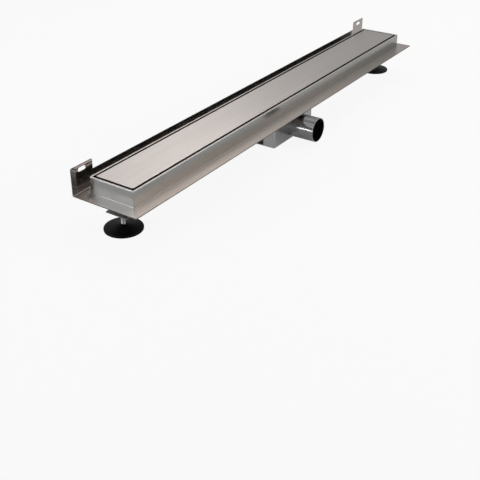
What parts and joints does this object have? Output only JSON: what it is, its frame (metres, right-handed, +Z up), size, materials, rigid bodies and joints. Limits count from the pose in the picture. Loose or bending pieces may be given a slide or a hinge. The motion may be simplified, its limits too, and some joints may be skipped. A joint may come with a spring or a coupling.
{
  "type": "linear shower drain",
  "caption": "Wall-side linear shower drain with a flush reversible cover, tanking flange, wall upstand, central sump with a side outlet and levelling feet.",
  "frame": {"origin": "centre of the outlet pipe's open end", "axes": "+X along the channel, +Y towards the wall, +Z up"},
  "size_m": [1.05, 0.169, 0.1125],
  "materials": {
    "brushed_stainless": "satin brushed along the length",
    "mill_stainless": "cold-rolled, half bright",
    "polished_stainless": "polished tube",
    "zinc_plated": "bright zinc plating",
    "black_plastic": "moulded, fine satin",
    "trap_plastic": "moulded, smooth",
    "rubber": "matt"
  },
  "bodies": {
    "drain": {"cover_plate": "brushed_stainless", "channel_tray": "mill_stainless", "wall_flange": "mill_stainless", "sump_body": "mill_stainless", "sump_floor": "mill_stainless", "outlet_pipe": "polished_stainless", "trap_cup": "trap_plastic", "trap_tube": "trap_plastic", "trap_seal": "rubber", "hair_strainer": "polished_stainless", "cover_support_1": "mill_stainless", "cover_rest_1_front": "rubber", "cover_rest_1_back": "rubber", "cover_support_2": "mill_stainless", "cover_rest_2_front": "rubber", "cover_rest_2_back": "rubber", "cover_support_3": "mill_stainless", "cover_rest_3_front": "rubber", "cover_rest_3_back": "rubber", "cover_support_4": "mill_stainless", "cover_rest_4_front": "rubber", "cover_rest_4_back": "rubber", "foot_bracket_left": "mill_stainless", "weld_nut_left": "zinc_plated", "foot_bracket_right": "mill_stainless", "weld_nut_right": "zinc_plated"},
    "foot_left": {"foot_stud_left": "zinc_plated", "foot_pad_left": "black_plastic"},
    "foot_right": {"foot_stud_right": "zinc_plated", "foot_pad_right": "black_plastic"}
  },
  "joints": [
    {"name": "foot_left_travel", "type": "slide", "parent": "drain", "child": "foot_left", "axis": [0, 0, 1], "range_m": [-0.01, 0.004]},
    {"name": "foot_right_travel", "type": "slide", "parent": "drain", "child": "foot_right", "axis": [0, 0, 1], "range_m": [-0.01, 0.004]}
  ]
}
